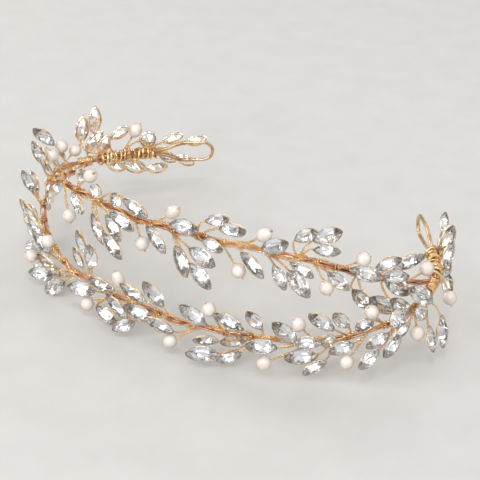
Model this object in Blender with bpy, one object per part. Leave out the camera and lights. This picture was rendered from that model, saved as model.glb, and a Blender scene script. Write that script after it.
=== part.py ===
"""Bridal tiara: two bent rows of copper wire that meet at each side and end in hairpin loops.

Sprigs of pointed crystals and drilled pearls are wound onto the rows with fine wire. Metres, +Z up,
front towards -Y, +X along the span. The origin is under the middle of the tiara, on the surface that
the lower sprigs rest on.

Along a row a place is told by its distance from the left junction. A sprig's stems are told from its
root: how far along the row, how far above or below it, and the slant of the stone's long axis.
"""

import math

import bmesh
import bpy
import numpy as np
from mathutils import Matrix, Vector

MM = 0.001

# ---------------------------------------------------------------- driving dimensions, in millimetres
MIDDLE = (-1.2, 4.2, -0.6)  # what the rows were bent round, and what becomes the origin
LEFT_JUNCTION = (-63, 19, 20)
RIGHT_JUNCTION = (67, 7, 20)
LOWER_ROW = [LEFT_JUNCTION, (-69, 11, 20), (-69, 3, 19), (-64, -8, 16), (-55, -18, 12), (-41, -26, 9),
             (-21, -31, 8), (0, -33, 8), (20, -31, 8), (39, -26, 9), (53, -20, 12), (63, -12, 16),
             (67, -2, 19), RIGHT_JUNCTION]
UPPER_ROW = [LEFT_JUNCTION, (-62, 5, 22), (-56, -10, 29), (-47, -19, 34), (-36, -24, 36), (-19, -28, 36),
             (0, -29, 36), (20, -27, 36), (38, -23, 35), (52, -16, 31), (62, -5, 25), RIGHT_JUNCTION]
LEFT_ARM = [LEFT_JUNCTION, (-56, 28, 20), (-45, 39, 19), (-33, 47, 19)]
RIGHT_ARM = [RIGHT_JUNCTION, (63, 16, 20), (57, 26, 20), (48, 38, 19)]

STRAND_RADIUS = 0.4
STRAND_SPREAD = 0.47  # each of a row's two strands from the row's line
STRAND_STEP = 5.5
STRAND_SIDES = 6
LOWER_SETBACK = 0.8  # the lower strands stop this short of a junction
UPPER_SETBACK = 5.0
ARM_SETBACK = 3.5
HAIRPIN_RADIUS = 0.6
HAIRPIN_NECK = 0.68  # half the distance between a hairpin's legs under the binding
LOOP_HALF_WIDTH = 3.3  # the same in the end loop, to the wire's centre
LOOP_LENGTH = 19.0
LOOP_TURN_STEPS = 8
BINDING_BORE = 1.42
BINDING_RADIUS = 1.8
JUNCTION_LENGTH = 4.0

VINE_RADIUS = 0.35
VINE_OUT = 1.45  # the vine wire's line from the row's line, on the outer side
ARM_VINE_OUT = 2.45
VINE_GAP = 0.5  # between one vine wire's end and the next one's start
RING_RADIUS = 1.6  # to the ring wire's centre
ARM_RING_RADIUS = 2.5
RING_SIDES = 6
STEM_RADIUS = 0.3
STEM_BEND = 0.45  # where along its reach a stem bends
PEARL_BORE = 0.42  # corner radius of the octagonal hole, which leaves 0.08 mm round the wire
PIN_HEAD = 0.55
STONE_BITE = 1.6  # how far a stem runs in past its stone's tip

# length, width, depth and how pointed the six-sided outline is: 1 is an ellipse's
STONES = {
    "large": (10.0, 5.0, 3.0, 1.3),
    "small": (8.0, 4.0, 2.5, 1.3),
    "oval": (5.6, 4.4, 2.6, 1),
    "round": (4.6, 4.6, 2.8, 1),
    "rivoli": (6.2, 6.2, 3.2, 1),
}
PEARLS = {"pearl": (4.4, 4.4), "rice": (5.4, 4.2)}  # length along the hole, and width
PEARL_SIDES = 8
PEARL_ARC = 5
STONE_SIDES = 6
TABLE_SHARE = 0.55
CROWN_SHARE = 0.35

# ---------------------------------------------------------------- sprigs
# Each inner list is one vine wire with its sprigs: (root, splay, [(stone, along, rise, slant), ...]).
# Splay is how far the stems lean out for each millimetre of reach. A fifth number sets a stone further out.
UPPER_SPRIGS = [
    [(12, 0.2, [("small", 7, 4.5, 30), ("large", 7, -4.5, -35)]),
     (21, 0.2, [("pearl", 5, 6.5), ("large", 9, 3.5, 25)]),
     (31, 0.2, [("small", 8, -3.5, -25), ("small", 4, -6.5, -60)]),
     (36, 0.2, [("large", 8, 5, 30), ("small", 4, 7.5, 65)])],
    [(50, 0.2, [("pearl", 4.5, -8), ("large", 10, -2, -15)]),
     (56, 0.15, [("rice", 11.5, 10.5), ("oval", 13, 6, 30), ("small", 6.5, 8.5, 50)])],
    [(65, 0.2, [("large", 3.5, -7.5, -50), ("large", 10.5, -4, -30), ("large", 10.5, -10, -30)]),
     (67, 0.15, [("round", 9.5, 5.5), ("large", 17.5, 6, -15), ("large", 13, 0.5, -15, 1.5)])],
    [(82, 0.2, [("pearl", 3.5, -6), ("large", 8.5, -3, -40)]),
     (88, 0.15, [("rice", 8.5, 8), ("large", 12, 4, 5)])],
    [(95, 0.2, [("large", 3.5, -8, -55), ("large", 10.5, -4.5, -15), ("large", 10, -10.5, -35)]),
     (103, 0.15, [("small", 7, 8.5, 20), ("large", 11.5, 6.5, 20), ("small", 5.5, 0, -5, 1)])],
    [(111, 0.2, [("pearl", 5.5, -6.5), ("large", 9.5, -3.5, -35)]),
     (116, 0.15, [("rice", 7.5, 7), ("large", 10.5, 4, 35)])],
    [(124, 0.2, [("small", 4.5, -6, -50), ("small", 10.5, -1.5, -15), ("large", 10.5, -6, -35)]),
     (133, 0.15, [("small", 0.6, 9.3, 45), ("large", 5.5, 11, 45), ("small", 6.5, 6, 20)])],
    [(138, 0.2, [("pearl", 4.5, -5.5), ("small", 7, -2.5, -20)]),
     (144, 0.15, [("pearl", 5, 6), ("large", 7.5, 1.5, 5)])],
    [(150, 0.2, [("small", 3, -6.5, -30), ("large", 9.5, -6.5, -10)]),
     (154, 0.15, [("small", 2.3, 5.8, 45), ("large", 8, 7.5, 45), ("small", 5, 3, 20, 1.8)]),
     (157, 0.2, [("large", 5, -0.5, -20), ("large", 11.5, -1.5, -20, 1.5), ("small", 6.5, -5, -15, 2.5)]),
     (165, 0.15, [("pearl", 5, 5.5)])],
]
LOWER_SPRIGS = [
    [(10, 0.4, [("pearl", -1, 5.5), ("large", 2.5, 10.5, 60), ("pearl", -4.5, 3)]),
     (19, 0.4, [("pearl", -5.5, 5), ("small", -2.5, 8.5, -70), ("small", -9, 0, -10), ("small", -4, -5.5, 45)]),
     (31, 0.4, [("pearl", -5.5, 4.5), ("large", -9, 0.5, -15), ("small", -2.5, 8, -65)]),
     (38, 0.4, [("large", -7.5, -4.5, 30), ("small", -3, -7, 65)])],
    [(45, 0.4, [("large", -8, 3.5, -30), ("small", -4, 7, -60), ("small", -9.5, -1.5, 0)]),
     (52, 0.4, [("large", -7.5, -5, 30), ("small", -3, -7, 60)]),
     (58, 0.3, [("pearl", -4, 6.3), ("large", -8.5, 2.5, -30), ("small", -10, 7.8, -35)]),
     (65, 0.45, [("pearl", -14, -1), ("large", -8, -0.5, -30), ("large", -10, -5.5, 20),
                 ("large", -4.5, -6.5, 45)])],
    [(73, 0.15, [("large", -0.5, 16.5, 85), ("small", -3.5, 9, -80), ("large", 3, 12.5, 80)]),
     (82, 0.45, [("large", -8.5, 0.5, 5), ("pearl", -6.5, -4), ("large", 0.5, -5.5, -5)])],
    [(90, 0.15, [("large", -3.5, -1, -40, 1.5), ("large", -10, 4, -10), ("rice", -3, 9)]),
     (100, 0.45, [("large", -5, 0.5, -30), ("small", -9, -4.5, 30)]),
     (104, 0.15, [("large", -11, 6.5, -25), ("large", -4, 8.5, -55)])],
    [(113, 0.45, [("large", -9.5, 0.5, -30), ("pearl", -6.5, -4.5)]),
     (122, 0.15, [("large", -9, 5.5, -35), ("pearl", -4, 9)])],
    [(130, 0.45, [("small", -11.5, 0.5, -10), ("small", -4.5, 0, 5), ("large", -12.5, -4, 0),
                  ("small", -5.5, -5, 20)]),
     (133, 0.15, [("large", -9, 6, -30), ("small", -1.5, 7.5, -60)])],
    [(147, 0.45, [("large", -12.5, 2, -20), ("pearl", -12, -3.5)]),
     (149, 0.15, [("large", -8.5, 4.5, -50), ("pearl", -4, 7.5)]),
     (153, 0.45, [("large", -8, -2, -10), ("small", -5, -6, 15)])],
    [(158, 0.15, [("round", -5, 1.5, -15, 1), ("small", -11, 2.2, -10, 1.2)]),
     (159, 0.15, [("large", -7, 8, -55), ("small", -1.5, 7.5, -65)]),
     (163, 0.45, [("small", -7, -0.5, -5), ("pearl", -6.5, -5)])],
    [(169, 0.15, [("oval", -5.5, 4, 0), ("pearl", -2.5, 8)]),
     (172, 0.45, [("small", -6.5, -1, 0), ("small", -3.5, -5, 20), ("small", -10, -5, 15)])],
    [(178, 0.4, [("rivoli", -6, 4, 0), ("small", -6, -1.5, 0), ("round", 1.5, -1.5), ("pearl", -2, -5.5)]),
     (184, 0.4, [("large", 0.5, -11, 65), ("small", -5, -9.5, 60)])],
]
LEFT_ARM_SPRIGS = [
    [(5, 0.1, [("large", -7.5, 10.5, 80), ("large", -2.7, 13, 80), ("large", -4, 4.5, 50, 1.5)]),
     (7, 0.1, [("small", -2.5, 4, 60, -0.8), ("small", 3.2, 7, 25), ("small", 1.5, -5.5, -25),
               ("large", 8.8, -7.3, -20, 1)])],
    [(11, 0.1, [("rice", 4.3, 7.2), ("rivoli", 8.5, 3.5, 0)]),
     (16, 0.1, [("small", 7, -7.2, 5, -1), ("small", 10.5, -4, -30, 0.5), ("small", 16, -5.5, -30)]),
     (19, 0.1, [("small", 9, 3.5, 15), ("small", 17, 2, 10)])],
]
RIGHT_ARM_SPRIGS = [
    [(6, 0.3, [("pearl", -3.5, -7), ("large", 2, -5.5, 60), ("small", 2.5, 4, 60)]),
     (11, 0.3, [("large", 5.5, -4, 60), ("large", 5, 4, 60), ("pearl", 9.5, 4.5)]),
     (16, 0.3, [("small", 9.5, -2, 45), ("small", 11, 3.5, 45)])],
]


# ---------------------------------------------------------------- rows
class Row:
    """A smooth line through a row's points, read by its distance from the left junction, or from its own
    junction on an arm."""

    SAMPLES = 24

    def __init__(self, points):
        points = [np.array(p, float) for p in points]
        ends = [2 * points[0] - points[1], *points, 2 * points[-1] - points[-2]]
        line = [points[0]]
        for a, b, c, d in zip(ends, ends[1:], ends[2:], ends[3:]):
            for t in np.linspace(0, 1, self.SAMPLES + 1)[1:]:
                line.append(0.5 * (2 * b + (c - a) * t + (2 * a - 5 * b + 4 * c - d) * t**2
                                   + (3 * b - a - 3 * c + d) * t**3))
        self.line = np.array(line)
        self.marks = np.concatenate([[0], np.cumsum(np.linalg.norm(np.diff(self.line, axis=0), axis=1))])
        self.length = self.marks[-1]

    def point(self, s):
        """The point at distance s, and past either end the straight continuation."""
        inside = min(max(s, 0), self.length)
        found = np.array([np.interp(inside, self.marks, self.line[:, k]) for k in range(3)])
        end = self.line[1] - self.line[0] if s < 0 else self.line[-1] - self.line[-2]
        return found + (s - inside) * end / np.linalg.norm(end)

    def frame(self, s):
        """The point at s with three unit directions: along the row, up across it, and outwards."""
        along = self.point(s + 1) - self.point(s - 1)
        along /= np.linalg.norm(along)
        outward = np.array([along[1], -along[0], 0])
        outward /= np.linalg.norm(outward)
        here = self.point(s)
        if (here - MIDDLE)[:2] @ outward[:2] < 0:
            outward = -outward
        rise = np.cross(outward, along)
        if rise[2] < 0:
            rise = -rise
        return here, along, rise, outward

    def offset(self, s, rise=0.0, out=0.0):
        here, _, up, outward = self.frame(s)
        return here + rise * up + out * outward


def steps(start, end, step):
    """Evenly spaced values from start to end, about a step apart."""
    return np.linspace(start, end, max(2, math.ceil(abs(end - start) / step) + 1))


# ---------------------------------------------------------------- scene, materials and helpers
def clear_scene():
    for obj in list(bpy.data.objects):
        bpy.data.objects.remove(obj, do_unlink=True)


def new_collection(name):
    collection = bpy.data.collections.new(name)
    bpy.context.scene.collection.children.link(collection)
    return collection


def material(name, colour, metallic, roughness):
    made = bpy.data.materials.new(name)
    made.use_nodes = True
    shader = made.node_tree.nodes["Principled BSDF"]
    shader.inputs["Base Color"].default_value = (*colour, 1)
    shader.inputs["Metallic"].default_value = metallic
    shader.inputs["Roughness"].default_value = roughness
    return made


def in_metres(point):
    return Vector((np.array(point, float) - MIDDLE) * MM)


def wire(name, points, radius, sides=8, collection=None):
    """A round wire through the points, with closed ends, as a curve object."""
    curve = bpy.data.curves.new(name, "CURVE")
    curve.dimensions = "3D"
    curve.bevel_depth = radius * MM
    curve.bevel_resolution = (sides - 4) // 2
    curve.use_fill_caps = True
    spline = curve.splines.new("POLY")
    spline.points.add(len(points) - 1)
    for knot, point in zip(spline.points, points):
        knot.co = (*in_metres(point), 1)
    obj = bpy.data.objects.new(name, curve)
    (collection or parts).objects.link(obj)
    return obj


def as_mesh(obj):
    """The curve object as a mesh object of the same name, with its caps welded on."""
    bpy.context.view_layer.update()
    evaluated = obj.evaluated_get(bpy.context.evaluated_depsgraph_get())
    mesh = bpy.data.meshes.new_from_object(evaluated)
    shape = bmesh.new()
    shape.from_mesh(mesh)
    bmesh.ops.remove_doubles(shape, verts=shape.verts, dist=1e-6)
    shape.to_mesh(mesh)
    shape.free()
    name, home = obj.name, obj.users_collection[0]
    made = bpy.data.objects.new(name + ".mesh", mesh)
    made.matrix_world = obj.matrix_world
    home.objects.link(made)
    bpy.data.objects.remove(obj)
    made.name = name
    return made


def helper(obj):
    obj.hide_render = True
    obj.display_type = "WIRE"
    return obj


def smooth(obj):
    obj.data.shade_smooth()
    obj.data.set_sharp_from_angle(angle=math.radians(50))
    return obj


def axes_matrix(centre, forward, normal):
    """A placement whose X is forward and whose Z is as near to normal as it can be."""
    x = Vector(forward).normalized()
    z = Vector(normal)
    z = (z - z.dot(x) * x).normalized()
    turned = Matrix((x, z.cross(x), z)).transposed().to_4x4()
    return Matrix.Translation(in_metres(centre)) @ turned


def join_later(obj, others):
    """Notes a union with everything in a collection. All are made at the end, so that none slows the rest."""
    unions.append((obj, others))


def join_all():
    for obj, others in unions:
        union = obj.modifiers.new("union", "BOOLEAN")
        union.operation = "UNION"
        union.operand_type = "COLLECTION"
        union.collection = others


def drilled(mesh, drill):
    """A new mesh: the first with the second cut out of it."""
    body = bpy.data.objects.new("drilled", mesh)
    cutter = bpy.data.objects.new("drill", drill)
    for obj in (body, cutter):
        cutters.objects.link(obj)
    cut = body.modifiers.new("drill", "BOOLEAN")
    cut.object = cutter
    bpy.context.view_layer.update()
    made = bpy.data.meshes.new_from_object(body.evaluated_get(bpy.context.evaluated_depsgraph_get()))
    bpy.data.objects.remove(body)
    bpy.data.objects.remove(cutter)
    return made


# ---------------------------------------------------------------- stones and pearls
def stone_mesh(kind):
    """A cut stone lying along X with its table up: a tapered crown over a pointed back."""
    length, width, depth, point = STONES[kind]
    crown = CROWN_SHARE * depth
    shape = bmesh.new()
    bmesh.ops.create_cone(shape, cap_ends=True, segments=STONE_SIDES, radius1=1, radius2=TABLE_SHARE, depth=crown)
    bottom = min(shape.faces, key=lambda face: face.calc_center_median().z)
    back = bmesh.ops.poke(shape, faces=[bottom])["verts"][0]
    back.co.z -= depth - crown
    for vert in shape.verts:
        share = max(vert.co.xy.length, 1e-9)
        sine = vert.co.y / share
        vert.co.x *= length / 2
        vert.co.y = share * math.copysign(abs(sine) ** point, sine) * width / 2
        vert.co.z += crown / 2
    bmesh.ops.scale(shape, vec=(MM, MM, MM), verts=shape.verts)
    mesh = bpy.data.meshes.new("stone_" + kind)
    shape.to_mesh(mesh)
    shape.free()
    return mesh


def pearl_mesh(kind):
    """A pearl with its hole along X: a round profile and the hole's wall, turned about the hole."""
    length, width = PEARLS[kind]
    edge = math.asin(PEARL_BORE / (width / 2))
    arc = [edge + (math.pi - 2 * edge) * i / PEARL_ARC for i in range(PEARL_ARC + 1)]
    profile = [(length / 2 * math.cos(a), 0, width / 2 * math.sin(a)) for a in arc]
    shape = bmesh.new()
    verts = [shape.verts.new(Vector(p) * MM) for p in profile]
    edges = [shape.edges.new(pair) for pair in zip(verts, [*verts[1:], verts[0]])]
    bmesh.ops.spin(shape, geom=[*verts, *edges], cent=(0, 0, 0), axis=(1, 0, 0), angle=2 * math.pi,
                   steps=PEARL_SIDES, use_duplicate=False)
    bmesh.ops.remove_doubles(shape, verts=shape.verts, dist=1e-6)
    bmesh.ops.recalc_face_normals(shape, faces=shape.faces)
    mesh = bpy.data.meshes.new(kind)
    shape.to_mesh(mesh)
    shape.free()
    mesh.materials.append(ivory)
    mesh.shade_smooth()
    mesh.set_sharp_from_angle(angle=math.radians(60))
    return mesh


def place_of(row, root, splay, stem, vine_out):
    """A stem's stone: its kind, its centre, the way it points and the way it faces."""
    kind, along, rise = stem[:3]
    slant = math.radians(stem[3]) if len(stem) > 3 else math.atan2(rise, along)
    further = stem[4] if len(stem) > 4 else 0
    reach = math.hypot(along, rise)
    here, ahead, up, outward = row.frame(root + along)
    centre = here + rise * up + (vine_out + splay * reach + further) * outward
    across = ahead + splay * along / reach * outward
    upward = up + splay * rise / reach * outward
    forward = math.cos(slant) * across + math.sin(slant) * upward
    if math.cos(slant) * along + math.sin(slant) * rise < 0:
        forward = -forward
    return kind, centre, forward / np.linalg.norm(forward), outward


def stem_points(start, end, forward):
    """From the vine wire to the stone in three points, turning into the stone's own line."""
    bend = end - STEM_BEND * np.linalg.norm(end - start) * forward
    return [start, 0.25 * start + 0.5 * bend + 0.25 * end, end]


# ---------------------------------------------------------------- parts
def row_strand(name, row, side, first, last):
    points = [row.offset(s, rise=side * STRAND_SPREAD) for s in steps(first, last, STRAND_STEP)]
    obj = wire(name, points, STRAND_RADIUS, STRAND_SIDES)
    obj.data.materials.append(copper)
    return obj


def hairpin(name, row):
    """One wire out along the arm, round the end loop and back."""
    turn_at = row.length - LOOP_HALF_WIDTH
    neck_end = row.length - LOOP_LENGTH
    leg = []
    for s in steps(ARM_SETBACK, turn_at, 3.2):
        opening = min(max((s - neck_end) / (0.5 * LOOP_LENGTH), 0), 1)
        opening = opening * opening * (3 - 2 * opening)
        leg.append((s, HAIRPIN_NECK + opening * (LOOP_HALF_WIDTH - HAIRPIN_NECK)))
    points = [row.offset(s, rise=half) for s, half in leg]
    for i in range(1, LOOP_TURN_STEPS):
        angle = math.pi * i / LOOP_TURN_STEPS
        points.append(row.offset(turn_at + LOOP_HALF_WIDTH * math.sin(angle),
                                 rise=LOOP_HALF_WIDTH * math.cos(angle)))
    points += [row.offset(s, rise=-half) for s, half in reversed(leg)]
    obj = wire(name, points, HAIRPIN_RADIUS)
    obj.data.materials.append(copper)
    return obj


def sleeve(name, row, first, last, bore, radius):
    """The wound wire that binds strands together, as a tube with a round bore."""
    outer = as_mesh(wire(name, [row.point(s) for s in steps(first, last, 4)], radius))
    long_way = [row.point(s) for s in [first - 2, *steps(first, last, 4), last + 2]]
    inner = as_mesh(wire(name + "_bore", long_way, bore, collection=cutters))
    outer.data = drilled(outer.data, inner.data)
    outer.data.materials.append(gold)
    bpy.data.objects.remove(inner)
    return smooth(outer)


def ring(name, row, s, radius, home):
    """A turn of wire round the row."""
    centre, _, up, outward = row.frame(s)
    angles = [2 * math.pi * (i + 0.5) / RING_SIDES for i in range(RING_SIDES)]
    points = [centre + radius * (math.cos(a) * outward + math.sin(a) * up) for a in angles]
    turn = wire(name, points, STEM_RADIUS, 4, home)
    turn.data.splines[0].use_cyclic_u = True
    return helper(as_mesh(turn))


def pin_and_stem(label, start, centre, forward, half, home):
    """A pearl's wire: the stem, the pin through the pearl and the turned-over end that keeps it on."""
    base = centre - (half + 0.3) * forward
    tip = centre + (half + 0.2) * forward
    points = [*stem_points(start, base, forward), tip, tip + 0.1 * forward, tip + 0.6 * forward]
    stem = wire(label, points, STEM_RADIUS, 6, home)
    for knot in stem.data.splines[0].points[-2:]:
        knot.radius = PIN_HEAD / STEM_RADIUS
    helper(as_mesh(stem))


def stone_and_stem(label, kind, start, centre, forward, outward, home):
    length, _, depth, _ = STONES[kind]
    end = centre - 0.1 * depth * outward - (length / 2 - STONE_BITE) * forward
    helper(as_mesh(wire(label, stem_points(start, end, forward), STEM_RADIUS, 4, home)))
    stone = helper(bpy.data.objects.new(label + "_stone", stone_meshes[kind]))
    stone.matrix_world = axes_matrix(centre, forward, outward)
    home.objects.link(stone)


def vine(name, row, sprigs, first, last, vine_out, ring_radius):
    """One fine wire along the row with its ring, stems and stones, joined into one solid. Returns the places
    of its pearls, which are separate pieces on its pins."""
    joined = bpy.data.collections.new(name + "_joined")
    cutters.children.link(joined)
    body = as_mesh(wire(name, [row.offset(s, out=vine_out) for s in steps(first, last, 5)], VINE_RADIUS, 6))
    body.data.materials.append(gold)
    ring(name + "_ring", row, (first + last) / 2, ring_radius, joined)
    pearls = []
    for i, (root, splay, stems) in enumerate(sprigs):
        start = row.offset(root, out=vine_out)
        for j, stem in enumerate(stems):
            kind, centre, forward, outward = place_of(row, root, splay, stem, vine_out)
            label = f"{name}_stem_{i}_{j}"
            if kind in PEARLS:
                pin_and_stem(label, start, centre, forward, PEARLS[kind][0] / 2, joined)
                pearls.append((kind, centre, forward, outward))
            else:
                stone_and_stem(label, kind, start, centre, forward, outward, joined)
    join_later(body, joined)
    return pearls


def garland(name, row, groups, first, last, vine_out=VINE_OUT, ring_radius=RING_RADIUS):
    """A row's vines end to end, with the pearls threaded on them."""
    middles = [(a[-1][0] + b[0][0]) / 2 for a, b in zip(groups, groups[1:])]
    starts = [first, *(m + VINE_GAP / 2 for m in middles)]
    ends = [*(m - VINE_GAP / 2 for m in middles), last]
    pearls = []
    for i, (sprigs, start, end) in enumerate(zip(groups, starts, ends), 1):
        pearls += vine(f"{name}_vine_{i}", row, sprigs, start, end, vine_out, ring_radius)
    for i, (kind, centre, forward, outward) in enumerate(pearls, 1):
        obj = bpy.data.objects.new(f"{name}_pearl_{i:02d}", pearl_meshes[kind])
        obj.matrix_world = axes_matrix(centre, forward, outward)
        parts.objects.link(obj)


def hang_on(pivot_name, point, prefix):
    """Parents a row's pieces to an empty on the axis that the row bends about."""
    pivot = bpy.data.objects.new(pivot_name, None)
    pivot.location = in_metres(point)
    parts.objects.link(pivot)
    bpy.context.view_layer.update()
    for obj in parts.objects:
        if obj.name.startswith(prefix) and obj != pivot:
            obj.parent = pivot
            obj.matrix_parent_inverse = pivot.matrix_world.inverted()


clear_scene()
parts = new_collection("bridal_tiara")
cutters = new_collection("cutters")
unions = []
copper = material("copper_wire", (0.80, 0.42, 0.24), 1, 0.25)
gold = material("gold_wire", (0.90, 0.66, 0.30), 1, 0.25)
ivory = material("pearl_ivory", (0.93, 0.87, 0.80), 0, 0.25)
stone_meshes = {kind: stone_mesh(kind) for kind in STONES}
pearl_meshes = {kind: pearl_mesh(kind) for kind in PEARLS}
lower, upper, left_arm, right_arm = (Row(p) for p in (LOWER_ROW, UPPER_ROW, LEFT_ARM, RIGHT_ARM))

for side, label in ((-1, "bottom"), (1, "top")):
    row_strand(f"lower_strand_{label}", lower, side, LOWER_SETBACK, lower.length - LOWER_SETBACK)
    row_strand(f"upper_strand_{label}", upper, side, UPPER_SETBACK, upper.length - UPPER_SETBACK)
sleeve("left_junction_binding", lower, 1.2, 1.2 + JUNCTION_LENGTH, BINDING_BORE, BINDING_RADIUS)
sleeve("right_junction_binding", lower, lower.length - 1.2 - JUNCTION_LENGTH, lower.length - 1.2,
       BINDING_BORE, BINDING_RADIUS)
for name, row in (("left_arm", left_arm), ("right_arm", right_arm)):
    hairpin(name + "_hairpin", row)
    sleeve(name + "_binding", row, ARM_SETBACK + 0.5, row.length - LOOP_LENGTH, BINDING_BORE, BINDING_RADIUS)

garland("lower", lower, LOWER_SPRIGS, 6.5, lower.length - 6.5)
garland("upper", upper, UPPER_SPRIGS, 9, upper.length - 12)
garland("left_arm", left_arm, LEFT_ARM_SPRIGS, ARM_SETBACK + 1, left_arm.length - LOOP_LENGTH - 0.5,
        ARM_VINE_OUT, ARM_RING_RADIUS)
garland("right_arm", right_arm, RIGHT_ARM_SPRIGS, ARM_SETBACK + 1, right_arm.length - LOOP_LENGTH - 0.5,
        ARM_VINE_OUT, ARM_RING_RADIUS)
hang_on("row_spread_axis", LEFT_JUNCTION, "upper_")
hang_on("left_arm_flex_axis", LEFT_JUNCTION, "left_arm_")
hang_on("right_arm_flex_axis", RIGHT_JUNCTION, "right_arm_")
join_all()
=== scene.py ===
"""Bridal tiara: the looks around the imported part.

The rows, the sprig tables and the way a stone is placed are the part's own, in millimetres. The part's
origin is at MIDDLE. Every wire is a round tube, every stone is cut with its own facets, and the pieces
ride on the bodies that their CAD nodes belong to.
"""

import math
import random

import bpy
import numpy as np
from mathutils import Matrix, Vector


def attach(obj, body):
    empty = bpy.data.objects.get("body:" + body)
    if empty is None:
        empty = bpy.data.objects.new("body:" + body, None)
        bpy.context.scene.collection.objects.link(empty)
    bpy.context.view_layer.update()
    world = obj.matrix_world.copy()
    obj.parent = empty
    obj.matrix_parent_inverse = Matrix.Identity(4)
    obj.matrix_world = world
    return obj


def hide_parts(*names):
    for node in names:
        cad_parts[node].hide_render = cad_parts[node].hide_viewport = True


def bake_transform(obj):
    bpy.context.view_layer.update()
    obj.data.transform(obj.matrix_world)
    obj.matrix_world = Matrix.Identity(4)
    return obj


MM = 0.001
TINY = 1e-6

# ---------------------------------------------------------------- the part's own dimensions
MIDDLE = np.array((-1.2, 4.2, -0.6))
LEFT_JUNCTION = (-63, 19, 20)
RIGHT_JUNCTION = (67, 7, 20)
LOWER_ROW = [LEFT_JUNCTION, (-69, 11, 20), (-69, 3, 19), (-64, -8, 16), (-55, -18, 12), (-41, -26, 9),
             (-21, -31, 8), (0, -33, 8), (20, -31, 8), (39, -26, 9), (53, -20, 12), (63, -12, 16),
             (67, -2, 19), RIGHT_JUNCTION]
UPPER_ROW = [LEFT_JUNCTION, (-62, 5, 22), (-56, -10, 29), (-47, -19, 34), (-36, -24, 36), (-19, -28, 36),
             (0, -29, 36), (20, -27, 36), (38, -23, 35), (52, -16, 31), (62, -5, 25), RIGHT_JUNCTION]
LEFT_ARM = [LEFT_JUNCTION, (-56, 28, 20), (-45, 39, 19), (-33, 47, 19)]
RIGHT_ARM = [RIGHT_JUNCTION, (63, 16, 20), (57, 26, 20), (48, 38, 19)]

UPPER_SETBACK = 5.0
ARM_SETBACK = 3.5
HAIRPIN_RADIUS = 0.6
HAIRPIN_NECK = 0.68
LOOP_HALF_WIDTH = 3.3
LOOP_LENGTH = 19.0
JUNCTION_LENGTH = 4.0
VINE_OUT = 1.45
ARM_VINE_OUT = 2.45
VINE_GAP = 0.5
STEM_BEND = 0.45

# Each stone's length, width and depth, and each pearl's length and width.
STONES = {
    "large": (10.0, 5.0, 3.0),
    "small": (8.0, 4.0, 2.5),
    "oval": (5.6, 4.4, 2.6),
    "round": (4.6, 4.6, 2.8),
    "rivoli": (6.2, 6.2, 3.2),
}
PEARLS = {"pearl": (4.4, 4.4), "rice": (5.4, 4.2)}
POINTED = ("large", "small")
POINTED_POWER = 1.42  # a pointed stone's side is a sine to this power, where 1 would make an ellipse
PEARL_FIT = 0.97  # a pearl turns on its wire just clear of the stones beside it
PEARL_SIDES = 24
PEARL_RINGS = 18
HOLE_RADIUS = 0.36  # where a pearl's hole meets its skin
CROWN_SHARE = 0.35
FACETS = 12  # main facets round a stone, a multiple of four
GIRDLE_SHARE = 0.09  # the height of a stone's edge band, of its depth
TABLE_SCALE = 0.56  # the flat table, of the outline
CROWN_BREAK = (0.80, 0.62)  # where the crown's facets meet: the outline's scale, and the share of its height
BACK_BREAK = (0.70, 0.36)  # the same on the back
POINTED_KEEL = 0.16  # half the length of the edge that the back facets end in, of the stone's length
ROUND_KEEL = 0.02
RING_LEVEL = -0.20  # how far behind its edge a stone's ring lies, of the back's depth
FRONT = np.array((-0.1, -0.88, 0.46))  # stones at the sides are bent round to face this way
SIDE_TURNED = 24.0  # up to here along the lower row they are bent all the way
SIDE_ENDS = 60.0  # and from here on not at all
RIGHT_ARM_LEAN = 0.45  # how far the right arm's stones are bent that way
LEFT_ARM_PLAY = 0.3  # its stones stand straighter than the others, clear of the lower row's

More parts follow.
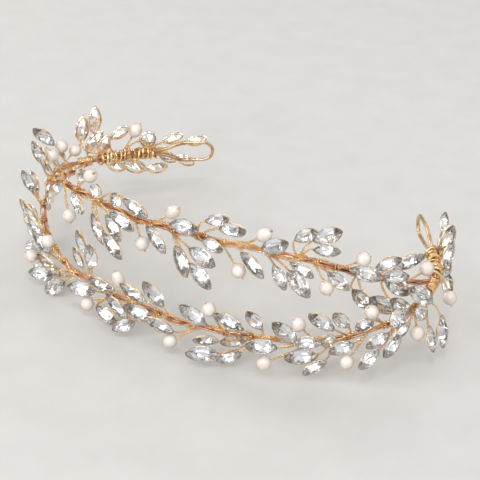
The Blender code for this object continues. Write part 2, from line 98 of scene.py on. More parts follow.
# Each inner list is one vine wire with its sprigs: (root, splay, [(stone, along, rise, slant), ...]).
UPPER_SPRIGS = [
    [(12, 0.2, [("small", 7, 4.5, 30), ("large", 7, -4.5, -35)]),
     (21, 0.2, [("pearl", 5, 6.5), ("large", 9, 3.5, 25)]),
     (31, 0.2, [("small", 8, -3.5, -25), ("small", 4, -6.5, -60)]),
     (36, 0.2, [("large", 8, 5, 30), ("small", 4, 7.5, 65)])],
    [(50, 0.2, [("pearl", 4.5, -8), ("large", 10, -2, -15)]),
     (56, 0.15, [("rice", 11.5, 10.5), ("oval", 13, 6, 30), ("small", 6.5, 8.5, 50)])],
    [(65, 0.2, [("large", 3.5, -7.5, -50), ("large", 10.5, -4, -30), ("large", 10.5, -10, -30)]),
     (67, 0.15, [("round", 9.5, 5.5), ("large", 17.5, 6, -15), ("large", 13, 0.5, -15, 1.5)])],
    [(82, 0.2, [("pearl", 3.5, -6), ("large", 8.5, -3, -40)]),
     (88, 0.15, [("rice", 8.5, 8), ("large", 12, 4, 5)])],
    [(95, 0.2, [("large", 3.5, -8, -55), ("large", 10.5, -4.5, -15), ("large", 10, -10.5, -35)]),
     (103, 0.15, [("small", 7, 8.5, 20), ("large", 11.5, 6.5, 20), ("small", 5.5, 0, -5, 1)])],
    [(111, 0.2, [("pearl", 5.5, -6.5), ("large", 9.5, -3.5, -35)]),
     (116, 0.15, [("rice", 7.5, 7), ("large", 10.5, 4, 35)])],
    [(124, 0.2, [("small", 4.5, -6, -50), ("small", 10.5, -1.5, -15), ("large", 10.5, -6, -35)]),
     (133, 0.15, [("small", 0.6, 9.3, 45), ("large", 5.5, 11, 45), ("small", 6.5, 6, 20)])],
    [(138, 0.2, [("pearl", 4.5, -5.5), ("small", 7, -2.5, -20)]),
     (144, 0.15, [("pearl", 5, 6), ("large", 7.5, 1.5, 5)])],
    [(150, 0.2, [("small", 3, -6.5, -30), ("large", 9.5, -6.5, -10)]),
     (154, 0.15, [("small", 2.3, 5.8, 45), ("large", 8, 7.5, 45), ("small", 5, 3, 20, 1.8)]),
     (157, 0.2, [("large", 5, -0.5, -20), ("large", 11.5, -1.5, -20, 1.5), ("small", 6.5, -5, -15, 2.5)]),
     (165, 0.15, [("pearl", 5, 5.5)])],
]
LOWER_SPRIGS = [
    [(10, 0.4, [("pearl", -1, 5.5), ("large", 2.5, 10.5, 60), ("pearl", -4.5, 3)]),
     (19, 0.4, [("pearl", -5.5, 5), ("small", -2.5, 8.5, -70), ("small", -9, 0, -10),
                ("small", -4, -5.5, 45)]),
     (31, 0.4, [("pearl", -5.5, 4.5), ("large", -9, 0.5, -15), ("small", -2.5, 8, -65)]),
     (38, 0.4, [("large", -7.5, -4.5, 30), ("small", -3, -7, 65)])],
    [(45, 0.4, [("large", -8, 3.5, -30), ("small", -4, 7, -60), ("small", -9.5, -1.5, 0)]),
     (52, 0.4, [("large", -7.5, -5, 30), ("small", -3, -7, 60)]),
     (58, 0.3, [("pearl", -4, 6.3), ("large", -8.5, 2.5, -30), ("small", -10, 7.8, -35)]),
     (65, 0.45, [("pearl", -14, -1), ("large", -8, -0.5, -30), ("large", -10, -5.5, 20),
                 ("large", -4.5, -6.5, 45)])],
    [(73, 0.15, [("large", -0.5, 16.5, 85), ("small", -3.5, 9, -80), ("large", 3, 12.5, 80)]),
     (82, 0.45, [("large", -8.5, 0.5, 5), ("pearl", -6.5, -4), ("large", 0.5, -5.5, -5)])],
    [(90, 0.15, [("large", -3.5, -1, -40, 1.5), ("large", -10, 4, -10), ("rice", -3, 9)]),
     (100, 0.45, [("large", -5, 0.5, -30), ("small", -9, -4.5, 30)]),
     (104, 0.15, [("large", -11, 6.5, -25), ("large", -4, 8.5, -55)])],
    [(113, 0.45, [("large", -9.5, 0.5, -30), ("pearl", -6.5, -4.5)]),
     (122, 0.15, [("large", -9, 5.5, -35), ("pearl", -4, 9)])],
    [(130, 0.45, [("small", -11.5, 0.5, -10), ("small", -4.5, 0, 5), ("large", -12.5, -4, 0),
                  ("small", -5.5, -5, 20)]),
     (133, 0.15, [("large", -9, 6, -30), ("small", -1.5, 7.5, -60)])],
    [(147, 0.45, [("large", -12.5, 2, -20), ("pearl", -12, -3.5)]),
     (149, 0.15, [("large", -8.5, 4.5, -50), ("pearl", -4, 7.5)]),
     (153, 0.45, [("large", -8, -2, -10), ("small", -5, -6, 15)])],
    [(158, 0.15, [("round", -5, 1.5, -15, 1), ("small", -11, 2.2, -10, 1.2)]),
     (159, 0.15, [("large", -7, 8, -55), ("small", -1.5, 7.5, -65)]),
     (163, 0.45, [("small", -7, -0.5, -5), ("pearl", -6.5, -5)])],
    [(169, 0.15, [("oval", -5.5, 4, 0), ("pearl", -2.5, 8)]),
     (172, 0.45, [("small", -6.5, -1, 0), ("small", -3.5, -5, 20), ("small", -10, -5, 15)])],
    [(178, 0.4, [("rivoli", -6, 4, 0), ("small", -6, -1.5, 0), ("round", 1.5, -1.5), ("pearl", -2, -5.5)]),
     (184, 0.4, [("large", 0.5, -11, 65), ("small", -5, -9.5, 60)])],
]
# The third stone stands 0.8 mm further along than in the part, clear of a pearl when the arm is bent.
LEFT_ARM_SPRIGS = [
    [(5, 0.1, [("large", -7.5, 10.5, 80), ("large", -2.7, 13, 80), ("large", -3.2, 4.5, 50, 1.5)]),
     (7, 0.1, [("small", -2.5, 4, 60, -0.8), ("small", 3.2, 7, 25), ("small", 1.5, -5.5, -25),
               ("large", 8.8, -7.3, -20, 1)])],
    [(11, 0.1, [("rice", 4.3, 7.2), ("rivoli", 8.5, 3.5, 0)]),
     (16, 0.1, [("small", 7, -7.2, 5, -1), ("small", 10.5, -4, -30, 0.5), ("small", 16, -5.5, -30)]),
     (19, 0.1, [("small", 9, 3.5, 15), ("small", 17, 2, 10)])],
]
RIGHT_ARM_SPRIGS = [
    [(6, 0.3, [("pearl", -3.5, -7), ("large", 2, -5.5, 60), ("small", 2.5, 4, 60)]),
     (11, 0.3, [("large", 5.5, -4, 60), ("large", 5, 4, 60), ("pearl", 9.5, 4.5)]),
     (16, 0.3, [("small", 9.5, -2, 45), ("small", 11, 3.5, 45)])],
]

# ---------------------------------------------------------------- how the wires are wound
STRAND_RADIUS = 0.37
PAIR_RADIUS = 0.16  # each wire of a twisted pair
PAIR_SPREAD = 0.25
PAIR_PITCH = 2.2
# Each twisted pair that winds round a row: the length of one turn (negative the other way round), the
# reach of its turns up and outwards, and how far out their middle lies.
WINDINGS = [(15.0, 1.05, 0.85, 0.12), (-23.0, 1.20, 0.95, 0.16)]
TIE = (1.12, 0.92, 0.12)  # reach up, reach outwards and middle of the turns that tie a sprig on
TIE_HALF_LENGTH = 1.0
TIE_PITCH = 0.95
FINE_RADIUS = 0.2  # the wire of the coils and of the rings behind the stones
RING_SCALE = 0.86  # the ring follows the stone's outline at this scale, under its back facets
PIN_RADIUS = 0.24  # the wire that a pearl turns on
KNOT = [(-0.25, 0.20), (0.0, 0.34), (0.22, 0.38), (0.42, 0.30), (0.52, 0.12)]  # its turned-over end
# How far above and outside its row's line each frame wire runs.
FRAME_LANES = {"bottom": (-0.43, 0.05), "top": (0.43, 0.0), "middle": (0.02, -0.42)}
SWELL_LENGTH = 13.0  # the frame wires swell apart and close again in this length
SWAY_LENGTH = 17.0  # and sway out and in in this one
ARM_THICK = 1.75  # an arm's hairpin is this much thicker than a row
# Each coil's pitch, the radius of its turns, the radius of its wire, and how loose it is.
ARM_COIL = (1.6, 1.75, 0.42, 0.10)
ARM_COIL_START = 1.4
JUNCTION_COIL = (0.62, 1.45, 0.26, 0.04)
JUNCTION_COIL_START = 0.6
JUNCTION_COIL_END = 1.6 + JUNCTION_LENGTH

# ---------------------------------------------------------------- the view
LENS = 102.9
CAMERA_TARGET = np.array((1.9, 5.8, 15.0))
CAMERA_DISTANCE = 0.430
CAMERA_AZIMUTH = math.radians(30.2)
CAMERA_ELEVATION = math.radians(31.0)


class Row:
    """A smooth line through a row's points, read by its distance from the row's junction."""

    SAMPLES = 24

    def __init__(self, points):
        points = [np.array(p, float) for p in points]
        ends = [2 * points[0] - points[1], *points, 2 * points[-1] - points[-2]]
        line = [points[0]]
        for a, b, c, d in zip(ends, ends[1:], ends[2:], ends[3:]):
            for t in np.linspace(0, 1, self.SAMPLES + 1)[1:]:
                line.append(0.5 * (2 * b + (c - a) * t + (2 * a - 5 * b + 4 * c - d) * t**2
                                   + (3 * b - a - 3 * c + d) * t**3))
        self.line = np.array(line)
        self.marks = np.concatenate([[0], np.cumsum(np.linalg.norm(np.diff(self.line, axis=0), axis=1))])
        self.length = self.marks[-1]

    def point(self, s):
        inside = min(max(s, 0), self.length)
        found = np.array([np.interp(inside, self.marks, self.line[:, k]) for k in range(3)])
        end = self.line[1] - self.line[0] if s < 0 else self.line[-1] - self.line[-2]
        return found + (s - inside) * end / np.linalg.norm(end)

    def frame(self, s):
        """The point at s with three unit directions: along the row, up across it, and outwards."""
        along = self.point(s + 1) - self.point(s - 1)
        along /= np.linalg.norm(along)
        outward = np.array([along[1], -along[0], 0])
        outward /= np.linalg.norm(outward)
        here = self.point(s)
        if (here - MIDDLE)[:2] @ outward[:2] < 0:
            outward = -outward
        rise = np.cross(outward, along)
        if rise[2] < 0:
            rise = -rise
        return here, along, rise, outward

    def offset(self, s, rise=0.0, out=0.0):
        here, _, up, outward = self.frame(s)
        return here + rise * up + out * outward


def steps(start, end, step):
    """Evenly spaced values from start to end, no further apart than the step."""
    return np.linspace(start, end, max(2, math.ceil(abs(end - start) / step) + 1))


def unit(v):
    return v / np.linalg.norm(v)


# ---------------------------------------------------------------- meshes
class Shape:
    """Faces collected from many wires or stones, which become one mesh."""

    def __init__(self):
        self.points, self.faces, self.smooth, self.slots = [], [], [], []
        self.count = 0

    def add(self, points, faces, smooth=True, slots=None):
        self.points.append(np.asarray(points, float))
        self.faces += [[i + self.count for i in face] for face in faces]
        self.smooth += [smooth] * len(faces)
        self.slots += slots or [0] * len(faces)
        self.count += len(points)

    def piece(self, name, materials):
        mesh = bpy.data.meshes.new(name)
        points = (np.concatenate(self.points) - MIDDLE) * MM
        mesh.from_pydata(points.tolist(), [], self.faces)
        for made in materials:
            mesh.materials.append(made)
        mesh.polygons.foreach_set("use_smooth", self.smooth)
        mesh.polygons.foreach_set("material_index", self.slots)
        mesh.update()
        obj = bpy.data.objects.new(name, mesh)
        bpy.context.scene.collection.objects.link(obj)
        return obj


def moving_frames(path, closed=False):
    """Two unit vectors across the path at each point, turning as little as they can along it."""
    path = np.asarray(path, float)
    if closed:
        tangents = np.roll(path, -1, axis=0) - np.roll(path, 1, axis=0)
    else:
        tangents = np.gradient(path, axis=0)
    tangents /= np.linalg.norm(tangents, axis=1)[:, None]
    across = np.cross(tangents[0], (0, 0, 1) if abs(tangents[0][2]) < 0.9 else (1, 0, 0))
    first = []
    for t in tangents:
        across = unit(across - (across @ t) * t)
        first.append(across)
    first = np.array(first)
    return first, np.cross(tangents, first)


def bands(count, sides, closed):
    """The faces between one ring of points and the next."""
    faces = []
    for i in range(count if closed else count - 1):
        a, b = i * sides, (i + 1) % count * sides
        faces += [(a + k, a + (k + 1) % sides, b + (k + 1) % sides, b + k) for k in range(sides)]
    return faces


def tube(shape, path, radius, sides=8, closed=False):
    """A round wire along the path. The radius may change along it."""
    path = np.asarray(path, float)
    first, second = moving_frames(path, closed)
    radii = np.broadcast_to(np.asarray(radius, float), len(path))
    turn = np.linspace(0, 2 * math.pi, sides, endpoint=False)
    across = np.cos(turn)[None, :, None] * first[:, None] + np.sin(turn)[None, :, None] * second[:, None]
    rings = path[:, None] + radii[:, None, None] * across
    count = len(path)
    faces = bands(count, sides, closed)
    if not closed:
        faces.append(tuple(reversed(range(sides))))
        faces.append(tuple(range((count - 1) * sides, count * sides)))
    shape.add(rings.reshape(-1, 3), faces)


def resampled(path, step):
    """The path with a point at every step along it, and those points' distances from its start."""
    path = np.asarray(path, float)
    marks = np.concatenate([[0], np.cumsum(np.linalg.norm(np.diff(path, axis=0), axis=1))])
    wanted = steps(0, marks[-1], step)
    return np.stack([np.interp(wanted, marks, path[:, k]) for k in range(3)], 1), wanted


def twisted_pair(shape, path, phase=0.0, sides=5):
    """Two thin wires twisted round each other along the path."""
    path, marks = resampled(path, PAIR_PITCH / 8)
    first, second = moving_frames(path)
    for half in (0, math.pi):
        angle = (phase + half + 2 * math.pi * marks / PAIR_PITCH)[:, None]
        tube(shape, path + PAIR_SPREAD * (np.cos(angle) * first + np.sin(angle) * second), PAIR_RADIUS, sides)


def coil(shape, row, start, end, pitch, rise, out, centre_out=0.0, radius=FINE_RADIUS, wobble=0.0):
    """Turns of wire round a row, which wander a little where there is a wobble."""
    turns = (end - start) / pitch
    path = []
    for t in np.linspace(0, 1, int(turns * 14) + 2):
        angle = 2 * math.pi * turns * t
        loose = 1 + wobble * (math.sin(2.3 * angle + start) + math.sin(0.71 * angle))
        s = start + (end - start) * t + 2 * wobble * math.sin(1.7 * angle)
        up = loose * rise * math.cos(angle)
        away = centre_out + loose * out * math.sin(angle)
        path.append(row.offset(s, rise=up, out=away))
    tube(shape, path, radius, 6)


# ---------------------------------------------------------------- stones and pearls
def outline(kind, angle, scale=1.0):
    """A point of the stone's outline: full sides that meet in tips, or an ellipse."""
    length, width, _ = STONES[kind]
    power = POINTED_POWER if kind in POINTED else 1
    sine = math.sin(angle)
    y = math.copysign(abs(sine) ** power, sine) * width / 2 if abs(sine) > TINY else 0.0
    return np.array([math.cos(angle) * length / 2 * scale, y * scale])


def cut_stone(kind):
    """A brilliant cut on the stone's outline: points and faces, and which faces are the coated back."""
    length, _, depth = STONES[kind]
    crown = CROWN_SHARE * depth
    pavilion = depth - crown
    half_band = 0.5 * GIRDLE_SHARE * depth
    keel = (POINTED_KEEL if kind in POINTED else ROUND_KEEL) * length
    n = FACETS
    full = [2 * math.pi * i / (2 * n) for i in range(2 * n)]
    even = full[::2]
    odd = full[1::2]
    points = [(*outline(kind, a), half_band) for a in full]
    points += [(*outline(kind, a), -half_band) for a in full]
    points += [(*outline(kind, a, CROWN_BREAK[0]), CROWN_BREAK[1] * crown) for a in odd]
    points += [(*outline(kind, a, TABLE_SCALE), crown) for a in even]
    points += [(*outline(kind, a, BACK_BREAK[0]), -BACK_BREAK[1] * pavilion - half_band) for a in odd]
    points += [(-keel, 0.0, -pavilion), (keel, 0.0, -pavilion)]
    top, low, mid, table, back = 0, 2 * n, 4 * n, 5 * n, 6 * n
    left_keel, right_keel = 7 * n, 7 * n + 1
    faces = [tuple(table + i for i in range(n))]
    for i in range(n):
        j = (i + 1) % n
        faces.append((table + i, mid + i, table + j))
        faces.append((table + i, mid + (i - 1) % n, top + 2 * i, mid + i))
        faces.append((mid + i, top + 2 * i, top + 2 * i + 1))
        faces.append((mid + i, top + 2 * i + 1, top + 2 * j))
    for i in range(2 * n):
        j = (i + 1) % (2 * n)
        faces.append((top + i, low + i, low + j, top + j))
    shown = len(faces)
    for i in range(n):
        j = (i + 1) % n
        faces.append((back + i, low + 2 * i + 1, low + 2 * i))
        faces.append((back + i, low + 2 * j, low + 2 * i + 1))
        x, y, _ = points[low + 2 * j]
        if x > TINY:
            keel_points = (right_keel,)
        elif x < -TINY:
            keel_points = (left_keel,)
        elif y > 0:
            keel_points = (right_keel, left_keel)
        else:
            keel_points = (left_keel, right_keel)
        faces.append((*keel_points, back + j, low + 2 * j, back + i))
    return np.array(points), faces, [0] * shown + [1] * (len(faces) - shown)


def place_of(row, root, splay, stem, vine_out):
    """A stem's stone: its kind, its centre, the way it points and the way it faces."""
    kind, along, rise = stem[:3]
    slant = math.radians(stem[3]) if len(stem) > 3 else math.atan2(rise, along)
    further = stem[4] if len(stem) > 4 else 0
    reach = math.hypot(along, rise)
    here, ahead, up, outward = row.frame(root + along)
    centre = here + rise * up + (vine_out + splay * reach + further) * outward
    across = ahead + splay * along / reach * outward
    upward = up + splay * rise / reach * outward
    forward = math.cos(slant) * across + math.sin(slant) * upward
    if math.cos(slant) * along + math.sin(slant) * rise < 0:
        forward = -forward
    return kind, centre, unit(forward), outward


def stone_axes(forward, outward, tilt, turn):
    """Forward, sideways and facing directions, tilted a little about the stone's own length and width."""
    facing = unit(outward - (outward @ forward) * forward)
    side = np.cross(facing, forward)
    facing, side = (math.cos(tilt) * facing + math.sin(tilt) * side,
                    math.cos(tilt) * side - math.sin(tilt) * facing)
    forward, facing = (math.cos(turn) * forward + math.sin(turn) * facing,
                       math.cos(turn) * facing - math.sin(turn) * forward)
    return np.array([forward, np.cross(facing, forward), facing])


def stem_path(start, end, forward):
    """A stem's line, which leaves its row and bends round to the way its stone points."""
    bend = end - STEM_BEND * np.linalg.norm(end - start) * forward
    return [(1 - t) ** 2 * start + 2 * t * (1 - t) * bend + t * t * end for t in np.linspace(0, 1, 9)]


def set_stone(shape, wires, kind, centre, axes, start):
    """One stone, the wire ring round its back and the twisted stem that carries them."""
    length, _, depth = STONES[kind]
    points, faces, slots = cut_stones[kind]
    shape.add(centre + points @ axes, faces, smooth=False, slots=slots)
    level = RING_LEVEL * (1 - CROWN_SHARE) * depth - 1.15 * FINE_RADIUS
    ring = [centre + np.array([*outline(kind, a, RING_SCALE), level]) @ axes
            for a in np.linspace(0, 2 * math.pi, 24, endpoint=False)]
    tube(wires, ring, FINE_RADIUS, 6, closed=True)
    end = centre + np.array([-RING_SCALE * length / 2, 0, level]) @ axes
    twisted_pair(wires, stem_path(start, end, axes[0]), phase=centre[0])


def set_pearl(wires, centre, forward, half, start):
    """The pearl's twisted stem, the pin through it and the small turned-over end."""
    base = centre - (half + 0.05) * forward
    top = centre + (half + 0.05) * forward
    twisted_pair(wires, stem_path(start, base, forward), phase=centre[1])
    tube(wires, [base - 0.4 * forward, base + 0.3 * forward, top], PIN_RADIUS, 6)
    tube(wires, [centre + (half + place) * forward for place, _ in KNOT], [radius for _, radius in KNOT], 8)


def pearl_piece(name, kind, centre, forward, outward, seed):
    """A drilled pearl, a little out of round, with its hole along forward."""
    length, width = PEARLS[kind]
    pearl_chance = random.Random(seed)
    lean, swell, pinch = (pearl_chance.uniform(-1, 1) for _ in range(3))
    edge = math.asin(HOLE_RADIUS / (width / 2))
    skin = []
    for i in range(PEARL_RINGS + 1):
        a = edge + (math.pi - 2 * edge) * i / PEARL_RINGS
        swollen = 1 + 0.02 * lean * math.cos(a) + 0.012 * pinch * math.cos(2 * a)
        skin.append((length / 2 * math.cos(a) * (1 + 0.01 * swell),
                     PEARL_FIT * width / 2 * math.sin(a) * swollen))
    top, bottom = skin[0][0], skin[-1][0]
    profile = [(top - 0.5, 0.30), (top - 0.06, 0.31), *skin, (bottom + 0.06, 0.31), (bottom + 0.5, 0.30)]
    facing = unit(outward - (outward @ forward) * forward)
    side = np.cross(facing, forward)
    points = []
    for x, r in profile:
        for k in range(PEARL_SIDES):
            a = 2 * math.pi * k / PEARL_SIDES
            oval = 1 + 0.01 * swell * math.cos(2 * a) * min(1, r)
            points.append(centre + x * forward + oval * r * (math.cos(a) * facing + math.sin(a) * side))
    shape = Shape()
    shape.add(points, bands(len(profile), PEARL_SIDES, closed=True))
    return shape.piece(name, [pearl_skin])


# ---------------------------------------------------------------- materials
def node_material(name):
    made = bpy.data.materials.new(name)
    made.use_nodes = True
    nodes, links = made.node_tree.nodes, made.node_tree.links
    return made, nodes, links, nodes["Principled BSDF"]


def noise_of(nodes, links, scale, detail=3.0):
    place = nodes.new("ShaderNodeTexCoord")
    noise = nodes.new("ShaderNodeTexNoise")
    noise.inputs["Scale"].default_value = scale
    noise.inputs["Detail"].default_value = detail
    links.new(place.outputs["Object"], noise.inputs["Vector"])
    return noise


def ramp_of(nodes, links, source, stops):
    ramp = nodes.new("ShaderNodeValToRGB")
    while len(ramp.color_ramp.elements) < len(stops):
        ramp.color_ramp.elements.new(0.5)
    for element, (place, colour) in zip(ramp.color_ramp.elements, stops):
        element.position = place
        element.color = (*colour, 1)
    links.new(source, ramp.inputs["Fac"])
    return ramp


def range_of(nodes, links, source, low, high):
    mapped = nodes.new("ShaderNodeMapRange")
    mapped.inputs["To Min"].default_value = low
    mapped.inputs["To Max"].default_value = high
    links.new(source, mapped.inputs["Value"])
    return mapped


def wire_metal(name, dark, mid, light, rough):
    """Plated wire: its colour and gloss change slowly along it, over fine drawing marks."""
    made, nodes, links, shader = node_material(name)
    shader.inputs["Metallic"].default_value = 1
    slow = noise_of(nodes, links, 260)
    tone = ramp_of(nodes, links, slow.outputs["Fac"], [(0.3, dark), (0.5, mid), (0.7, light)])
    links.new(tone.outputs["Color"], shader.inputs["Base Color"])
    gloss = range_of(nodes, links, slow.outputs["Fac"], rough - 0.06, rough + 0.10)
    links.new(gloss.outputs["Result"], shader.inputs["Roughness"])
    fine = noise_of(nodes, links, 3200, 2)
    bump = nodes.new("ShaderNodeBump")
    bump.inputs["Strength"].default_value = 0.12
    bump.inputs["Distance"].default_value = 0.00005
    links.new(fine.outputs["Fac"], bump.inputs["Height"])
    links.new(bump.outputs["Normal"], shader.inputs["Normal"])
    return made


def crystal_glass():
    """Clear cut crystal with a faint cool and warm fire that changes from place to place."""
    made, nodes, links, shader = node_material("cut_crystal")
    shader.inputs["Transmission Weight"].default_value = 1
    shader.inputs["IOR"].default_value = 1.58
    noise = noise_of(nodes, links, 420, 1)
    tone = ramp_of(nodes, links, noise.outputs["Fac"],
                   [(0.30, (0.94, 0.97, 1.0)), (0.42, (1, 1, 1)), (0.60, (1, 1, 1)),
                    (0.72, (1.0, 0.95, 0.90))])
    links.new(tone.outputs["Color"], shader.inputs["Base Color"])
    rough = range_of(nodes, links, noise.outputs["Fac"], 0.0, 0.03)
    links.new(rough.outputs["Result"], shader.inputs["Roughness"])
    return made


def silver_back():
    """The bright coating on the back facets."""
    made, nodes, links, shader = node_material("silver_back")
    shader.inputs["Metallic"].default_value = 1
    noise = noise_of(nodes, links, 500, 2)
    tone = ramp_of(nodes, links, noise.outputs["Fac"],
                   [(0.35, (0.90, 0.92, 0.95)), (0.55, (0.98, 0.98, 0.98)), (0.7, (0.99, 0.97, 0.94))])
    links.new(tone.outputs["Color"], shader.inputs["Base Color"])
    rough = range_of(nodes, links, noise.outputs["Fac"], 0.06, 0.16)
    links.new(rough.outputs["Result"], shader.inputs["Roughness"])
    return made


def pearl_material():
    """Ivory nacre: a soft body under a clear gloss, with painted shade that turns it dark brown towards its
    outline, where it is seen edge-on.
    """
    made, nodes, links, shader = node_material("pearl_skin")
    noise = noise_of(nodes, links, 330, 4)
    body = ramp_of(nodes, links, noise.outputs["Fac"],
                   [(0.32, (0.80, 0.70, 0.62)), (0.5, (0.91, 0.84, 0.78)), (0.68, (0.96, 0.92, 0.88))])
    # painted shade: the colour turns dark brown towards the pearl's outline, where it is seen edge-on
    edge = nodes.new("ShaderNodeLayerWeight")
    edge.inputs["Blend"].default_value = 0.32
    painted_rim_shade = nodes.new("ShaderNodeMix")
    painted_rim_shade.data_type = "RGBA"
    links.new(edge.outputs["Facing"], painted_rim_shade.inputs["Factor"])
    links.new(body.outputs["Color"], painted_rim_shade.inputs["A"])
    painted_rim_shade.inputs["B"].default_value = (0.42, 0.27, 0.19, 1)
    links.new(painted_rim_shade.outputs["Result"], shader.inputs["Base Color"])
    shader.inputs["Subsurface Weight"].default_value = 0.10
    shader.inputs["Subsurface Radius"].default_value = (0.0012, 0.0008, 0.0006)
    shader.inputs["Specular IOR Level"].default_value = 0.8
    shader.inputs["Coat Weight"].default_value = 1.0
    shader.inputs["Coat Roughness"].default_value = 0.12
    rough = range_of(nodes, links, noise.outputs["Fac"], 0.20, 0.38)
    links.new(rough.outputs["Result"], shader.inputs["Roughness"])
    bump = nodes.new("ShaderNodeBump")
    bump.inputs["Strength"].default_value = 0.25
    bump.inputs["Distance"].default_value = 0.0001
    links.new(noise.outputs["Fac"], bump.inputs["Height"])
    links.new(bump.outputs["Normal"], shader.inputs["Normal"])
    return made


# ---------------------------------------------------------------- vines
def winding(row, start, end, turn, rise, out, centre_out):
    """The line of a wire that winds slowly round a row."""
    path = []
    for s in steps(start, end, 1.0):
        angle = 2 * math.pi * s / turn
        path.append(row.offset(s, rise=rise * math.cos(angle), out=centre_out + out * math.sin(angle)))
    return path


def vine(name, row, body, sprigs, start, end, vine_out, thick, lean, play):
    """One vine wire's pieces. Its crystals and its wires take the place of its CAD node."""
    stones, wires = Shape(), Shape()
    for turn, rise, out, centre_out in WINDINGS:
        twisted_pair(wires, winding(row, start, end, turn, rise * thick, out * thick, centre_out))
    pearls = []
    tie_rise, tie_out, tie_centre = TIE
    for root, splay, stems in sprigs:
        coil(wires, row, root - TIE_HALF_LENGTH, root + TIE_HALF_LENGTH, TIE_PITCH,
             tie_rise * thick, tie_out * thick, tie_centre)
        for i, stem in enumerate(stems):
            kind, centre, forward, outward = place_of(row, root, splay, stem, vine_out)
            lift = math.copysign(0.55 * thick, stem[2])
            begin = row.offset(root + 0.35 * (i - 1), rise=lift, out=0.55 * thick + 0.25)
            if kind in PEARLS:
                set_pearl(wires, centre, forward, PEARLS[kind][0] / 2, begin)
                pearls.append((kind, centre, forward, outward))
            else:
                facing = unit((1 - lean(root)) * outward + lean(root) * FRONT)
                tilt = chance.uniform(-0.22, 0.22)
                turn = chance.uniform(-0.10, 0.14)
                axes = stone_axes(forward, facing, play * tilt, play * turn)
                set_stone(stones, wires, kind, centre, axes, begin)
    crystals = stones.piece(name + "_crystals", [crystal, silver])
    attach(crystals, body)
    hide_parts(name)
    wire = wires.piece(name + "_wire", [gold])
    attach(wire, body)
    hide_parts(name)
    return pearls


def garland(name, row, body, groups, first, last, vine_out=VINE_OUT, thick=1.0, lean=lambda root: 0.0,
            play=1.0):
    """A row's vines and pearls. The lean turns its stones towards FRONT, and play scales their tilt."""
    middles = [(a[-1][0] + b[0][0]) / 2 for a, b in zip(groups, groups[1:])]
    starts = [first, *(m + VINE_GAP / 2 for m in middles)]
    ends = [*(m - VINE_GAP / 2 for m in middles), last]
    pearls = []
    for i, (sprigs, start, end) in enumerate(zip(groups, starts, ends), 1):
        pearls += vine(f"{name}_vine_{i}", row, body, sprigs, start, end, vine_out, thick, lean, play)
    for i, (kind, centre, forward, outward) in enumerate(pearls, 1):
        node = f"{name}_pearl_{i:02d}"
        bead = pearl_piece(node + "_bead", kind, centre, forward, outward, node)
        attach(bead, node)
        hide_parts(node)


# ---------------------------------------------------------------- frame wires
def frame_wires(name, row, body, first, last):
    """Three smooth strands that swell apart and draw together again along the row."""
    for i, (label, (rise, out)) in enumerate(FRAME_LANES.items()):
        phase = 2.1 * i
        path = []
        for s in steps(first, last, 1.2):
            swell = 1 + 0.30 * math.sin(2 * math.pi * s / SWELL_LENGTH + phase)
            sway = 0.10 * math.sin(2 * math.pi * s / SWAY_LENGTH + phase)
            path.append(row.offset(s, rise=rise * swell, out=out + sway))
        shape = Shape()
        tube(shape, path, STRAND_RADIUS, 10)
        wire = shape.piece(f"{name}_frame_wire_{label}", [copper])
        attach(wire, body)
        if label != "middle":
            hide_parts(f"{name}_strand_{label}")


def joining_wires(name, row, first, last, lanes, radius):
    """The stretch of wire that leads out of a junction."""
    shape = Shape()
    for rise, out in lanes:
        path = []
        for s in steps(first, last, 0.5):
            spread = min(1, 0.4 + 0.6 * abs(s - first) / 3)
            path.append(row.offset(s, rise=rise * spread, out=out * spread))
        tube(shape, path, radius, 10)
    wire = shape.piece(name, [copper])
    start, end = ((row.point(s) - MIDDLE) * MM for s in (first + 0.3 * (last - first), last))
    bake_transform(wire)


def hairpin(name, row, body):
    """One smooth wire out along the arm, round the end loop and back."""
    turn_at = row.length - LOOP_HALF_WIDTH
    neck_end = row.length - LOOP_LENGTH
    leg = []
    for s in steps(ARM_SETBACK, turn_at, 0.9):
        opening = min(max((s - neck_end) / (0.5 * LOOP_LENGTH), 0), 1)
        opening = opening * opening * (3 - 2 * opening)
        leg.append((s, HAIRPIN_NECK + opening * (LOOP_HALF_WIDTH - HAIRPIN_NECK)))
    path = [row.offset(s, rise=half) for s, half in leg]
    for angle in np.linspace(0, math.pi, 16)[1:-1]:
        s = turn_at + LOOP_HALF_WIDTH * math.sin(angle)
        path.append(row.offset(s, rise=LOOP_HALF_WIDTH * math.cos(angle)))
    path += [row.offset(s, rise=-half) for s, half in reversed(leg)]
    shape = Shape()
    tube(shape, path, HAIRPIN_RADIUS - 0.02, 12)
    wire = shape.piece(name + "_hairpin_wire", [pale_gold])
    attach(wire, body)
    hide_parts(name + "_hairpin")


def binding(name, node, row, body, start, end, pitch, size, radius, wobble):
    """The coil of wire that binds strands together, in place of a sleeve."""
    shape = Shape()
    coil(shape, row, start, end, pitch, size, size, radius=radius, wobble=wobble)
    wire = shape.piece(name, [gold])
    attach(wire, body)
    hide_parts(node)


# ---------------------------------------------------------------- surroundings
def area_light(name, place, size, power, colour=(1, 1, 1)):
    """A soft light that looks at the tiara."""
    lamp = bpy.data.lights.new(name, "AREA")
    lamp.shape = "RECTANGLE"
    lamp.size, lamp.size_y = size
    lamp.energy = power
    lamp.color = colour
    obj = bpy.data.objects.new(name, lamp)
    obj.location = place
    obj.visible_camera = False
    obj.rotation_euler = (Vector((0, 0, 0.02)) - obj.location).to_track_quat("-Z", "Y").to_euler()
    bpy.context.scene.collection.objects.link(obj)


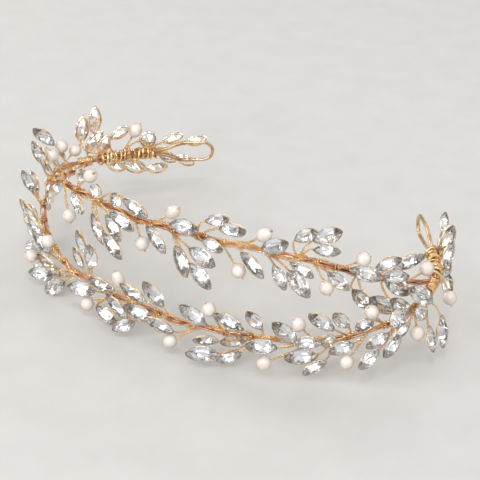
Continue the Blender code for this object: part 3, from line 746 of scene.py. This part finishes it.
def studio():
    """A plain pale floor, soft lights and a quiet sky with a pale horizon."""
    bpy.ops.mesh.primitive_circle_add(vertices=96, radius=6, fill_type="NGON")
    floor = bpy.context.object
    floor.name = "floor"
    made, nodes, links, shader = node_material("pale_floor")
    noise = noise_of(nodes, links, 90, 5)
    tone = ramp_of(nodes, links, noise.outputs["Fac"],
                   [(0.3, (0.60, 0.59, 0.57)), (0.7, (0.63, 0.62, 0.60))])
    links.new(tone.outputs["Color"], shader.inputs["Base Color"])
    shader.inputs["Roughness"].default_value = 0.55
    floor.data.materials.append(made)
    area_light("key", (-0.52, -0.62, 0.85), (1.0, 0.8), 4.6, (1, 0.985, 0.96))
    area_light("front", (0.38, -0.72, 0.66), (0.7, 0.5), 1.5, (0.98, 0.99, 1))
    area_light("right", (0.85, 0.05, 0.45), (0.3, 0.6), 1.0)
    area_light("back", (0.0, 0.75, 0.60), (0.7, 0.25), 1.0)
    area_light("spark_left", (-0.7, 0.1, 0.35), (0.06, 0.2), 0.9, (1, 0.96, 0.9))
    area_light("spark_front", (-0.1, -0.8, 0.3), (0.08, 0.06), 0.9)
    area_light("spark_above", (0.2, -0.35, 0.9), (0.12, 0.05), 1.0)
    world = bpy.data.worlds.new("studio")
    bpy.context.scene.world = world
    world.use_nodes = True
    nodes, links = world.node_tree.nodes, world.node_tree.links
    place = nodes.new("ShaderNodeTexCoord")
    split = nodes.new("ShaderNodeSeparateXYZ")
    links.new(place.outputs["Generated"], split.inputs["Vector"])
    tone = ramp_of(nodes, links, split.outputs["Z"],
                   [(0.0, (0.66, 0.65, 0.64)), (0.12, (0.72, 0.72, 0.72)), (0.22, (0.40, 0.40, 0.40)),
                    (0.36, (0.44, 0.44, 0.44)), (0.50, (1.0, 1.0, 1.0)), (0.68, (0.52, 0.52, 0.52)),
                    (0.84, (1.0, 1.0, 1.0)), (1.0, (0.85, 0.85, 0.85))])
    links.new(tone.outputs["Color"], nodes["Background"].inputs["Color"])
    nodes["Background"].inputs["Strength"].default_value = 0.85


def camera():
    """A long lens that looks down at the tiara from the front right."""
    lens = bpy.data.cameras.new("camera")
    lens.lens = LENS
    lens.sensor_width = 36
    lens.clip_start = 0.01
    obj = bpy.data.objects.new("camera", lens)
    target = Vector((CAMERA_TARGET - MIDDLE) * MM)
    level = math.cos(CAMERA_ELEVATION)
    back = Vector((math.sin(CAMERA_AZIMUTH) * level, -math.cos(CAMERA_AZIMUTH) * level,
                   math.sin(CAMERA_ELEVATION)))
    obj.location = target + CAMERA_DISTANCE * back
    obj.rotation_euler = (-back).to_track_quat("-Z", "Y").to_euler()
    bpy.context.scene.collection.objects.link(obj)
    bpy.context.scene.camera = obj


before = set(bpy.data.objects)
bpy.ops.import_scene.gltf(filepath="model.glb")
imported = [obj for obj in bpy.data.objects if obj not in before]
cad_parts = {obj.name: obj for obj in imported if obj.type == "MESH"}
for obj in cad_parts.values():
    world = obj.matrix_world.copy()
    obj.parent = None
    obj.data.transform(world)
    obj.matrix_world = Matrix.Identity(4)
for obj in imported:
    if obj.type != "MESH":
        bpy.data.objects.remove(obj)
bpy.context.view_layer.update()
chance = random.Random(11)
cut_stones = {kind: cut_stone(kind) for kind in STONES}
copper = wire_metal("copper_wire_metal", (0.42, 0.20, 0.12), (0.66, 0.36, 0.23), (0.88, 0.60, 0.45), 0.20)
gold = wire_metal("gold_wire_metal", (0.54, 0.30, 0.12), (0.90, 0.60, 0.29), (1.0, 0.82, 0.54), 0.20)
pale_gold = wire_metal("pale_gold_wire_metal", (0.42, 0.24, 0.12), (0.68, 0.44, 0.25), (0.88, 0.66, 0.44),
                       0.24)
crystal = crystal_glass()
silver = silver_back()
pearl_skin = pearl_material()
lower, upper, left_arm, right_arm = (Row(p) for p in (LOWER_ROW, UPPER_ROW, LEFT_ARM, RIGHT_ARM))

frame_wires("lower", lower, "lower_row", 0.2, lower.length - 0.2)
frame_wires("upper", upper, "upper_row", UPPER_SETBACK, upper.length - UPPER_SETBACK)
for name, row, body in (("left_arm", left_arm, "left_arm"), ("right_arm", right_arm, "right_arm")):
    hairpin(name, row, body)
    coil_end = row.length - LOOP_LENGTH - 0.8
    binding(name + "_coil", name + "_binding", row, body, ARM_COIL_START, coil_end, *ARM_COIL)
    joining_wires(name + "_joining_wires", row, 0.2, ARM_SETBACK + 0.6,
                  [(HAIRPIN_NECK, 0), (-HAIRPIN_NECK, 0)], 0.5)
for side, first, last in (("left", 0.4, UPPER_SETBACK + 0.8),
                          ("right", upper.length - 0.4, upper.length - UPPER_SETBACK - 0.8)):
    joining_wires("upper_joining_wires_" + side, upper, first, last, FRAME_LANES.values(),
                  STRAND_RADIUS)
for side, first, last in (("left", JUNCTION_COIL_START, JUNCTION_COIL_END),
                          ("right", lower.length - JUNCTION_COIL_END, lower.length - JUNCTION_COIL_START)):
    binding(side + "_junction_coil", side + "_junction_binding", lower, "lower_row", first, last,
            *JUNCTION_COIL)

garland("lower", lower, "lower_row", LOWER_SPRIGS, 6.5, lower.length - 6.5,
        lean=lambda root: min(1, max(0, (SIDE_ENDS - root) / (SIDE_ENDS - SIDE_TURNED))))
garland("upper", upper, "upper_row", UPPER_SPRIGS, 9, upper.length - 12)
garland("left_arm", left_arm, "left_arm", LEFT_ARM_SPRIGS, ARM_SETBACK + 1,
        left_arm.length - LOOP_LENGTH - 0.5, ARM_VINE_OUT, ARM_THICK, play=LEFT_ARM_PLAY)
garland("right_arm", right_arm, "right_arm", RIGHT_ARM_SPRIGS, ARM_SETBACK + 1,
        right_arm.length - LOOP_LENGTH - 0.5, ARM_VINE_OUT, ARM_THICK, lean=lambda root: RIGHT_ARM_LEAN)

studio()
camera()
bpy.context.scene.view_settings.view_transform = "Standard"
